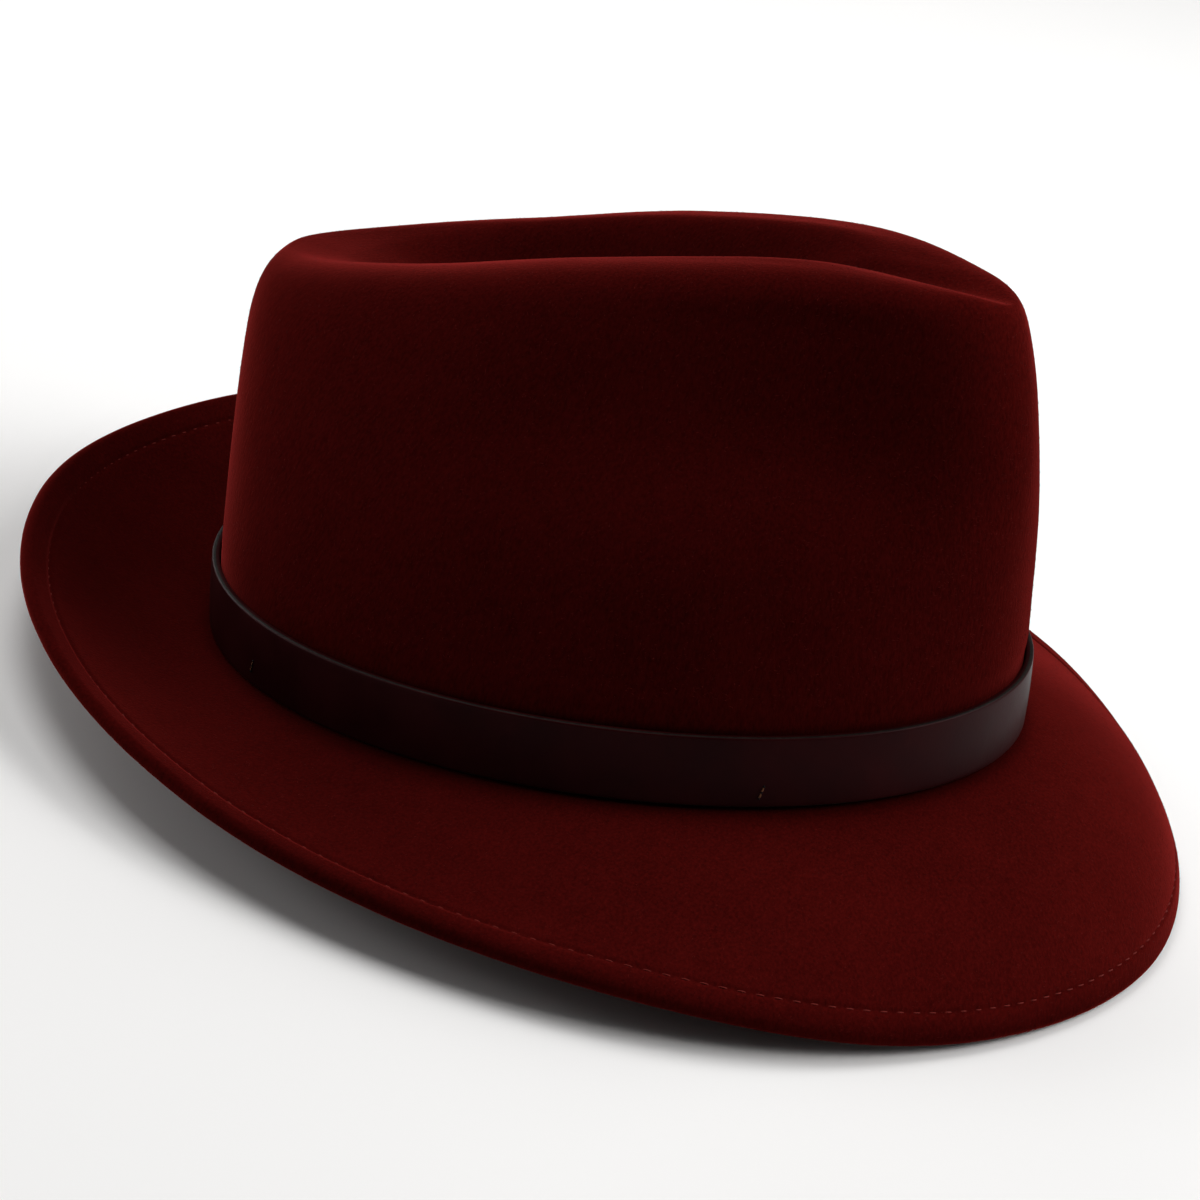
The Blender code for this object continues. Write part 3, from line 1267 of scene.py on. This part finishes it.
@dataclass
class LeatherBand:
    """Plain leather band round the crown's foot, with painted edges."""

    block: HatBlock
    frame: HeadFrame
    columns: int = 384
    gap: float = 0.3 * MM
    thickness: float = 2.0 * MM
    lift: float = 0.5 * MM
    corner: float = 0.45 * MM
    corner_steps: int = 5
    face_rows: int = 18
    crown_of_face: float = 0.18 * MM
    paint_width: float = 0.95 * MM

    def outline(self, foot: np.ndarray) -> tuple[np.ndarray, np.ndarray]:
        """Section of the band: steps outside the crown and heights.

        Args:
            foot: Height of the band's lower edge at each angle.

        Returns:
            Steps outside the head oval and heights, both as rows by angles.
        """
        grows = []
        heights = []

        def corner(grow: float, height: np.ndarray, start_deg: float) -> None:
            """Rounds one corner of the section, a quarter turn clockwise.

            Args:
                grow: Step of the corner's centre outside the head oval.
                height: Height of the corner's centre at each angle.
                start_deg: Where the quarter turn starts.
            """
            for turn in np.radians(np.linspace(start_deg, start_deg - 90.0, self.corner_steps)):
                grows.append(np.full_like(foot, grow + self.corner * math.cos(turn)))
                heights.append(height + self.corner * math.sin(turn))

        inner = self.gap + self.corner
        outer = self.gap + self.thickness - self.corner
        top = np.full_like(foot, self.block.band_top)
        upper = top - self.corner
        lower = foot + self.corner
        corner(inner, upper, 180.0)
        grows.append(np.full_like(foot, self.gap + self.thickness - self.paint_width))
        heights.append(top)
        corner(outer, upper, 90.0)
        for share in np.linspace(0.0, 1.0, self.face_rows + 2)[1:-1]:
            bow = self.crown_of_face * math.sin(math.pi * share)
            grows.append(np.full_like(foot, self.gap + self.thickness + bow))
            heights.append(upper * (1.0 - share) + lower * share)
        corner(outer, lower, 0.0)
        corner(inner, lower, -90.0)
        return np.array(grows), np.array(heights)

    def place(self, angles: np.ndarray, grow: np.ndarray, height: np.ndarray) -> np.ndarray:
        """Finds points beside the head oval, in the head opening's frame.

        Args:
            angles: Angles around the hat, in degrees.
            grow: Steps outside the oval.
            height: Heights over the crown's foot.

        Returns:
            The points.
        """
        foot, outward = self.block.head_oval(angles)
        points = foot + outward * grow[..., None]
        points[..., 2] = height
        return points

    def foot(self, angles: np.ndarray) -> np.ndarray:
        """Height of the band's lower edge over the brim at each angle."""
        reach = np.full((1, len(angles)), self.gap + self.thickness)
        return np.maximum(self.block.brim_points(angles, reach)[0][:, 2], 0.0) + self.lift

    def build(self) -> bpy.types.Object:
        """Builds the band.

        Returns:
            The band's object.
        """
        angles = np.arange(self.columns) * 360.0 / self.columns
        grows, heights = self.outline(self.foot(angles))
        rows = self.place(angles, grows, heights)
        faces = ring_faces(len(rows), self.columns, wrap=True)
        band = add_mesh("leather_hat_band", self.frame.laid(rows), faces)
        band.data.materials.append(BridleLeather().make())
        band.data.materials.append(EdgePaint().make())
        painted = np.zeros((len(rows), self.columns), np.int32)
        top_edge = self.corner_steps
        low_edge = 2 * self.corner_steps + self.face_rows + 2
        painted[top_edge:top_edge + 2] = 1
        painted[low_edge:] = 1
        band.data.polygons.foreach_set("material_index", painted.reshape(-1))
        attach(band, Body.HAT.value)
        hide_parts(Node.BAND.value)
        return band


def stitch_paths(points: np.ndarray, way: np.ndarray, up: np.ndarray, arch: np.ndarray) -> np.ndarray:
    """Centre lines of many like stitches.

    Args:
        points: Middle of each stitch.
        way: Direction of each stitch along its row.
        up: Direction of each stitch out of what it is sewn to.
        arch: Steps of one stitch, each as a distance along its way and a height over its middle.

    Returns:
        The lines, as stitches by steps by triples.
    """
    along = way[:, None] * arch[None, :, :1]
    return points[:, None] + along + up[:, None] * arch[None, :, 1:]


@dataclass
class EdgeSeam:
    """Row of machine stitches that holds the turned-under edge of the brim."""

    block: HatBlock
    frame: HeadFrame
    felt: FeltBody
    pitch: float = 4.2 * MM
    stitch: float = 2.5 * MM
    thread_radius: float = 0.15 * MM
    slant_deg: float = 7.0
    thread_taper: float = 0.35
    rise: float = 0.12 * MM
    dive: float = 0.40 * MM
    back_sink: float = 0.19 * MM
    back_turn: tuple[float, float] = (45.0, 100.0)
    steps: int = 7
    sides: int = 8
    fine_steps: int = 2881

    def spaced_angles(self) -> np.ndarray:
        """Finds the angles that lie one stitch apart along the seam.

        Returns:
            Angles around the hat, in degrees.
        """
        fine = np.linspace(0.0, 360.0, self.fine_steps)
        distances = self.block.brim_widths(fine) - self.felt.seam_inset
        line = self.block.brim_points(fine, distances[None])[0]
        length = np.concatenate([[0.0], np.cumsum(np.linalg.norm(np.diff(line, axis=0), axis=-1))])
        count = round(length[-1] / self.pitch)
        return np.interp(np.arange(count) * length[-1] / count, length, fine)

    def row(self, face: Face) -> bpy.types.Object:
        """Builds the stitches on one side of the brim.

        Args:
            face: The side that the stitches lie on.

        Returns:
            The stitches, joined in one object.
        """
        angles = self.spaced_angles()
        if face is Face.UNDER:
            angles = angles + (angles[1] - angles[0]) / 2.0
        distances = self.block.brim_widths(angles) - self.felt.seam_inset
        points, normals, out = self.block.brim_frames(angles, distances)
        if face is Face.UNDER:
            points = points - normals * (2.0 * self.block.felt)
        up = normals * face.value
        sunk = self.felt.seam_depth + self.back_sink * (1.0 - front_share(angles, self.back_turn))
        points = points - up * sunk[:, None]
        along = np.cross(normals, out)
        slant = math.radians(self.slant_deg)
        way = along * math.cos(slant) + out * math.sin(slant)
        shares = np.linspace(-0.5, 0.5, self.steps)
        heights = self.rise - (self.rise + self.dive) * (2.0 * np.abs(shares)) ** 3
        paths = stitch_paths(points, way, up, np.stack([shares * self.stitch, heights], axis=-1))
        radii = self.thread_radius * (1.0 - self.thread_taper * (2.0 * np.abs(shares)) ** 2)
        shell, faces = tubes(self.frame.laid(paths), radii, self.sides)
        seam = add_mesh(f"edge_seam_{face.name.lower()}", shell, faces)
        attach(seam, Body.HAT.value)
        return seam

    def build(self) -> list[bpy.types.Object]:
        """Builds the stitches on both sides of the brim.

        Returns:
            One object for each side.
        """
        thread = SpunThread().make()
        rows = []
        for face in Face:
            row = self.row(face)
            row.data.materials.append(thread)
            rows.append(row)
        return rows


@dataclass
class BandTacks:
    """Small hand stitches, in pairs, that hold the band to the crown."""

    block: HatBlock
    frame: HeadFrame
    band: LeatherBand
    # Angle around the hat and height on the band of each pair's middle.
    places: tuple[tuple[float, float], ...] = (
        (-47.5, 4.3 * MM), (-123.0, 5.4 * MM), (47.5, 4.3 * MM), (123.0, 5.4 * MM),
    )
    length: float = 1.1 * MM
    pitch: float = 1.55 * MM
    slant_deg: float = 17.0
    thread_radius: float = 0.20 * MM
    hole_radius: float = 0.27 * MM
    hole_length: float = 0.34 * MM
    rise: float = 0.12 * MM
    dive: float = 0.30 * MM
    steps: int = 9
    sides: int = 8

    def spots(self, shifts: tuple[float, ...]) -> tuple[np.ndarray, np.ndarray, np.ndarray]:
        """Finds spots along the slant of each tack.

        Args:
            shifts: Distances up the slant from the tack's middle.

        Returns:
            Points on the band's face, the way up the slant, and the outward direction, one for each spot.
        """
        angles = np.array([angle for angle, _ in self.places])
        heights = np.array([height for _, height in self.places])
        face = self.band.gap + self.band.thickness + self.band.crown_of_face
        points = self.band.place(angles, np.full(len(angles), face), heights)
        outward = self.block.head_oval(angles)[1]
        upward = np.array([0.0, 0.0, 1.0])
        side = np.cross(upward, outward) * np.sign(-angles)[:, None]
        slant = math.radians(self.slant_deg)
        way = upward * math.cos(slant) + side * math.sin(slant)
        shifted = points[None] + way[None] * np.array(shifts)[:, None, None]
        count = len(shifts)
        return shifted.reshape(-1, 3), np.tile(way, (count, 1)), np.tile(outward, (count, 1))

    def threads(self) -> bpy.types.Object:
        """Builds the threads of the tacks, two short stitches in each.

        Returns:
            The stitches, joined in one object.
        """
        points, way, outward = self.spots((-self.pitch / 2.0, self.pitch / 2.0))
        shares = np.linspace(-0.5, 0.5, self.steps)
        heights = self.rise - (self.rise + self.dive) * (2.0 * np.abs(shares)) ** 4
        paths = stitch_paths(points, way, outward, np.stack([shares * self.length, heights], axis=-1))
        shell, faces = tubes(self.frame.laid(paths), np.full(self.steps, self.thread_radius), self.sides)
        tacks = add_mesh("band_tacks", shell, faces)
        tacks.data.materials.append(TackThread().make())
        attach(tacks, Body.HAT.value)
        return tacks

    def holes(self) -> bpy.types.Object:
        """Builds painted shade for the needle holes at the ends of the stitches.

        Returns:
            The dark fillings of painted shade, joined in one object.
        """
        # Painted shade: near-black fillings where the needle holes would be in shade.
        points, way, outward = self.spots((-self.pitch, 0.0, self.pitch))
        depth = self.hole_length / 2.0
        paths = stitch_paths(points, way, outward, np.array([[0.0, -depth], [0.0, depth]]))
        shell, faces = tubes(self.frame.laid(paths), np.full(2, self.hole_radius), self.sides)
        holes = add_mesh("band_needle_hole_painted_shade", shell, faces)
        holes.data.materials.append(NeedleHolePaintedShade().make())
        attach(holes, Body.HAT.value)
        return holes

    def build(self) -> list[bpy.types.Object]:
        """Builds the tacks and their needle holes, one object for each."""
        return [self.threads(), self.holes()]


def sight(azimuth: float, elevation: float) -> np.ndarray:
    """Direction from the hat to someone who looks at it.

    Args:
        azimuth: Degrees round the hat from its front.
        elevation: Degrees above the level.

    Returns:
        The direction, one long.
    """
    turn = math.radians(azimuth)
    tilt = math.radians(elevation)
    return np.array([math.sin(turn) * math.cos(tilt), -math.cos(turn) * math.cos(tilt), math.sin(tilt)])


@dataclass(frozen=True)
class Softbox:
    """One square studio light that looks at the hat."""

    name: str
    azimuth: float
    elevation: float
    distance: float
    size: float
    power: float

    def build(self, target: np.ndarray) -> bpy.types.Object:
        """Adds the light to the scene.

        Args:
            target: Point that the light looks at.

        Returns:
            The light's object.
        """
        back = Vector(sight(self.azimuth, self.elevation))
        lamp = bpy.data.lights.new(self.name, "AREA")
        lamp.shape = "SQUARE"
        lamp.size = self.size
        lamp.energy = self.power
        thing = bpy.data.objects.new(self.name, lamp)
        thing.location = Vector(target) + back * self.distance
        thing.rotation_mode = "QUATERNION"
        thing.rotation_quaternion = (-back).to_track_quat("-Z", "Y")
        bpy.context.scene.collection.objects.link(thing)
        return thing


@dataclass
class Studio:
    """Floor, soft lights and the camera at the photograph's angle."""

    frame: HeadFrame
    picture: int = 1200
    sensor: float = 36.0
    azimuth: float = -63.48
    elevation: float = 21.45
    roll: float = 5.02
    distance: float = 0.7828
    focal_pixels: float = 3118.3
    target: tuple[float, float, float] = (0.0013, 0.0066, 0.0105)
    floor_half: float = 8.0
    sky: str = "FFFFFF"
    sky_strength: float = 0.02
    lights: tuple[Softbox, ...] = (
        Softbox("front_key", 25.0, 42.0, 1.6, 0.9, 16.4),
        Softbox("front_low", 25.0, 12.0, 1.6, 0.9, 2.5),
        Softbox("far_side", 70.0, 42.0, 1.6, 0.9, 7.4),
        Softbox("back_low", 160.0, 12.0, 1.6, 0.9, 7.6),
        Softbox("near_back_low", 205.0, 12.0, 1.6, 0.9, 7.9),
        Softbox("back_high", 160.0, 65.0, 1.6, 0.9, 12.0),
    )

    def camera(self) -> bpy.types.Object:
        """Adds the camera, placed in the head opening's frame and carried to the row's.

        Returns:
            The camera's object.
        """
        back = sight(self.azimuth, self.elevation)
        level = unit(np.cross(-back, np.array([0.0, 0.0, 1.0])))
        lift = np.cross(level, -back)
        roll = math.radians(self.roll)
        right = level * math.cos(roll) + lift * math.sin(roll)
        up = lift * math.cos(roll) - level * math.sin(roll)
        place = self.frame.laid(np.array(self.target) + back * self.distance)
        axes = [self.frame.turned(axis) for axis in (right, up, back)]
        lens = bpy.data.cameras.new("photo_camera")
        lens.sensor_width = self.sensor
        lens.lens = self.focal_pixels * self.sensor / self.picture
        lens.clip_start = 0.05
        lens.clip_end = 40.0
        thing = bpy.data.objects.new("photo_camera", lens)
        thing.matrix_world = Matrix([
            [axes[0][row], axes[1][row], axes[2][row], place[row]] for row in range(3)
        ] + [[0.0, 0.0, 0.0, 1.0]])
        bpy.context.scene.collection.objects.link(thing)
        bpy.context.scene.camera = thing
        return thing

    def floor(self) -> bpy.types.Object:
        """Adds the paper floor.

        Returns:
            The floor's object.
        """
        half = self.floor_half
        corners = np.array([[-half, -half, 0.0], [half, -half, 0.0], [half, half, 0.0], [-half, half, 0.0]])
        paper = add_mesh("paper_floor", corners, [(0, 1, 2, 3)])
        paper.data.materials.append(StudioPaper().make())
        return paper

    def world(self) -> None:
        """Lights the scene evenly from all round."""
        world = bpy.data.worlds.new("studio_air")
        world.use_nodes = True
        world.node_tree.nodes.clear()
        sky = add_node(
            world.node_tree, "ShaderNodeBackground",
            {"Color": linear(self.sky), "Strength": self.sky_strength},
        )
        add_node(world.node_tree, "ShaderNodeOutputWorld", {"Surface": sky.outputs["Background"]})
        bpy.context.scene.world = world

    def build(self) -> None:
        """Builds the studio."""
        self.floor()
        self.world()
        middle = self.frame.laid(np.array([0.0, 0.0, 0.05]))
        for light in self.lights:
            light.build(middle)
        self.camera()
        view = bpy.context.scene.view_settings
        view.view_transform = "Standard"
        view.look = "None"


def report(thing: bpy.types.Object) -> None:
    """Says what a finished piece holds."""
    LOG.info("%s: %d points, %d faces", thing.name, len(thing.data.vertices), len(thing.data.polygons))


def main() -> None:
    """Builds the dressed hat and its studio."""
    logging.basicConfig(level=logging.INFO, format="%(message)s")
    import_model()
    block = HatBlock()
    frame = HeadFrame()
    felt = FeltBody(block, frame)
    band = LeatherBand(block, frame)
    pieces = [
        felt.build(),
        band.build(),
        *EdgeSeam(block, frame, felt).build(),
        LooseNap(felt, frame).build(),
        *BandTacks(block, frame, band).build(),
    ]
    for piece in pieces:
        report(piece)
    Studio(frame).build()


if __name__ == "__main__":
    main()
